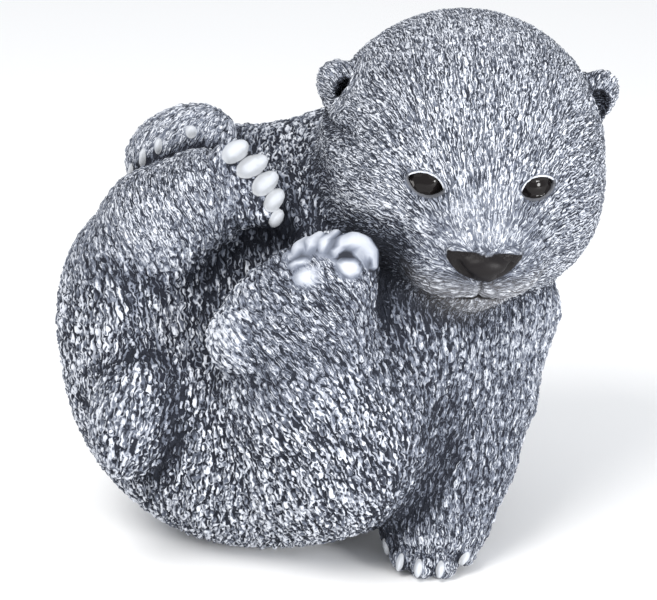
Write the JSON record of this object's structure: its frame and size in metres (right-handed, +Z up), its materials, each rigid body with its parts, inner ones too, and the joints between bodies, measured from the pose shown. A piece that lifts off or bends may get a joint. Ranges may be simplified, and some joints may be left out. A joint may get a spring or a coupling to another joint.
{
  "type": "animal garden statue",
  "caption": "Cast-stone polar bear cub lolling on its rump, hind feet raised, propped on a front leg with the other paw laid over a foot.",
  "frame": {"origin": "ground under the centre of the statue's box", "axes": "+Z up, +Y towards the statue's back, +X to the right of someone who faces the cub, on the side of its head"},
  "size_m": [0.2793, 0.1925, 0.2618],
  "materials": {
    "stone": "cast stone painted slate blue, its fur dry-brushed white; eyes gloss black, nose satin charcoal"
  },
  "bodies": {
    "root": {"polar_bear_cub": "stone"}
  },
  "joints": []
}
